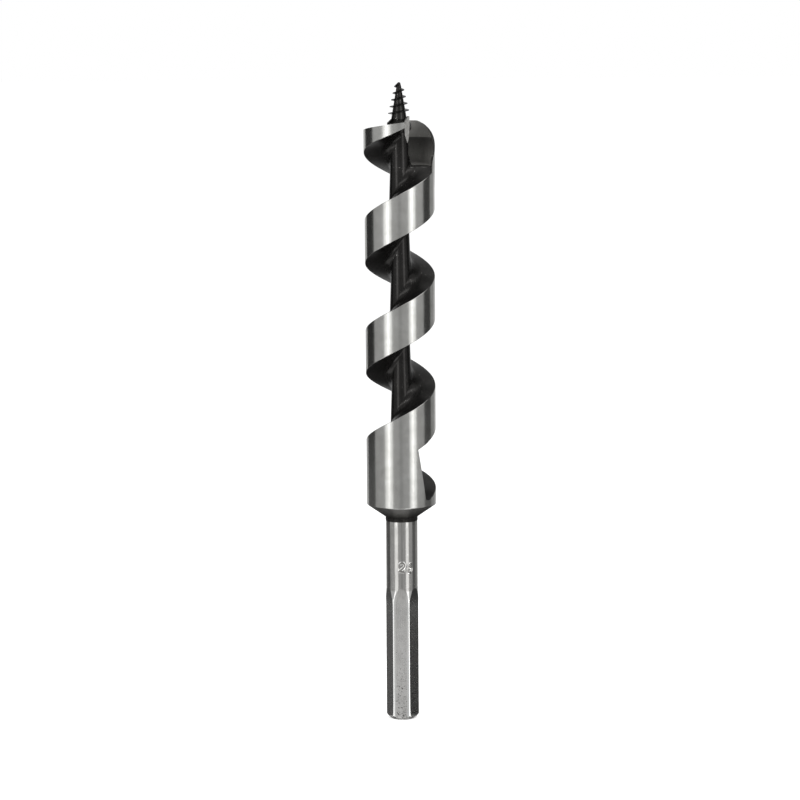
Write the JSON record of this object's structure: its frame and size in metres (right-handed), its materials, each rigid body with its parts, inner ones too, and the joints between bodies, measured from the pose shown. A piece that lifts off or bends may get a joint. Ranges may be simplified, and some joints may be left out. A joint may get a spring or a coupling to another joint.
{
  "type": "auger bit",
  "caption": "Wood auger bit: a helical land round a solid core with a cutting lip, side spur and open throat, a tapered lead screw and a hex shank brazed to the barrel.",
  "frame": {"origin": "centre of the shank's flat end face", "axes": "+Z along the bit's axis from the shank end to the point; the pictured side faces -Y, and +X is to the right in the picture"},
  "size_m": [0.0258, 0.0258, 0.235],
  "materials": {
    "ground_steel": "forged and twisted steel, land and barrel ground bright, flute and throat left in black oxide",
    "black_oxide_steel": "turned steel in black oxide",
    "drawn_steel": "cold drawn hex bar with a turned neck",
    "braze": "brazing filler darkened by flux and heat"
  },
  "bodies": {
    "root": {"auger_body": "ground_steel", "lead_screw": "black_oxide_steel", "shank": "drawn_steel", "braze_ring": "braze"}
  },
  "joints": []
}
